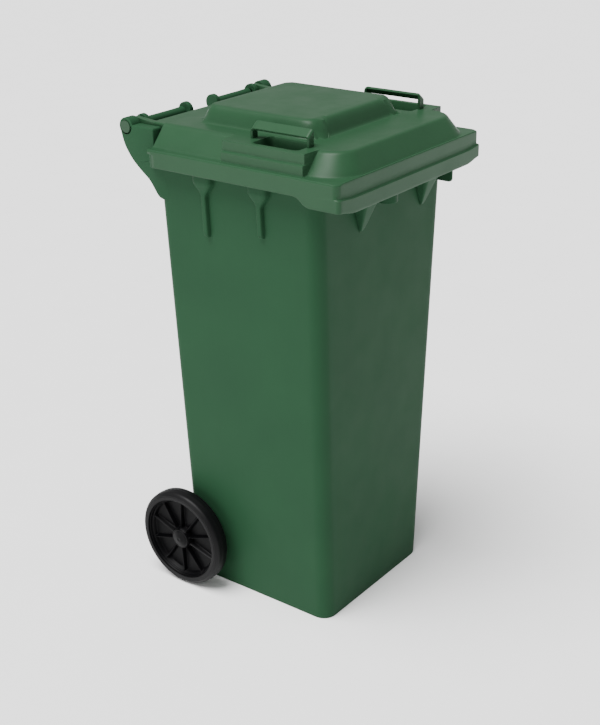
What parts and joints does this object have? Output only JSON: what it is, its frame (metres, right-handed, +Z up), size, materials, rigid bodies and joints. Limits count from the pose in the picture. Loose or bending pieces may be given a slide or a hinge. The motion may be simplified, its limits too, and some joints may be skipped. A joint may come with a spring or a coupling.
{
  "type": "wheelie bin",
  "caption": "Two-wheel refuse bin: tapered moulded container, hinged domed lid with side grips, twin rear handle bars, solid-tyred wheels on a steel axle.",
  "frame": {"origin": "on the floor, under the centre of the bin's bounding box", "axes": "+Z up, -Y the front that faces the user when the lid is opened, +X the bin's right side seen from behind; the lid hinge and the wheel axle run along X"},
  "size_m": [0.448, 0.5, 0.954],
  "materials": {
    "container_plastic": "moulded green polyethylene, satin",
    "lid_plastic": "moulded green polyethylene, satin",
    "pin_plastic": "moulded green polyamide, satin",
    "plug_plastic": "moulded black plastic",
    "buffer_rubber": "moulded black rubber",
    "axle_steel": "drawn and zinc plated steel",
    "tyre_rubber": "moulded solid rubber, matt",
    "rim_plastic": "moulded black polypropylene, satin",
    "bush_nylon": "turned nylon",
    "lock_steel": "zinc plated steel",
    "cap_plastic": "moulded black polypropylene, satin"
  },
  "bodies": {
    "container": {"container": "container_plastic", "axle": "axle_steel", "left_lid_pin": "pin_plastic", "right_lid_pin": "pin_plastic", "chip_nest_plug": "plug_plastic", "rim_buffers": "buffer_rubber", "left_spacer_washer": "axle_steel", "right_spacer_washer": "axle_steel"},
    "lid": {"lid": "lid_plastic"},
    "left_wheel": {"left_tyre": "tyre_rubber", "left_wheel_rim": "rim_plastic", "left_wheel_bush": "bush_nylon", "left_hub_cap": "cap_plastic", "left_lock_spring": "lock_steel"},
    "left_lock": {"left_lock_pin": "lock_steel"},
    "right_wheel": {"right_tyre": "tyre_rubber", "right_wheel_rim": "rim_plastic", "right_wheel_bush": "bush_nylon", "right_hub_cap": "cap_plastic", "right_lock_spring": "lock_steel"},
    "right_lock": {"right_lock_pin": "lock_steel"}
  },
  "joints": [
    {"name": "lid_hinge", "type": "hinge", "parent": "container", "child": "lid", "pos_m": [0, 0.234, 0.914], "axis": [-1, 0, 0], "range_deg": [0, 262]},
    {"name": "left_wheel_spin", "type": "hinge", "parent": "container", "child": "left_wheel", "pos_m": [0, 0.1438, 0.1], "axis": [-1, 0, 0], "continuous": true},
    {"name": "left_lock_release", "type": "slide", "parent": "left_wheel", "child": "left_lock", "axis": [0, 0, 1], "range_m": [0, 0.003], "stiffness_N_per_m": 400, "springref_m": -0.002, "deforming": ["left_lock_spring"]},
    {"name": "right_wheel_spin", "type": "hinge", "parent": "container", "child": "right_wheel", "pos_m": [0, 0.1438, 0.1], "axis": [-1, 0, 0], "continuous": true},
    {"name": "right_lock_release", "type": "slide", "parent": "right_wheel", "child": "right_lock", "axis": [0, 0, 1], "range_m": [0, 0.003], "stiffness_N_per_m": 400, "springref_m": -0.002, "deforming": ["right_lock_spring"]}
  ]
}
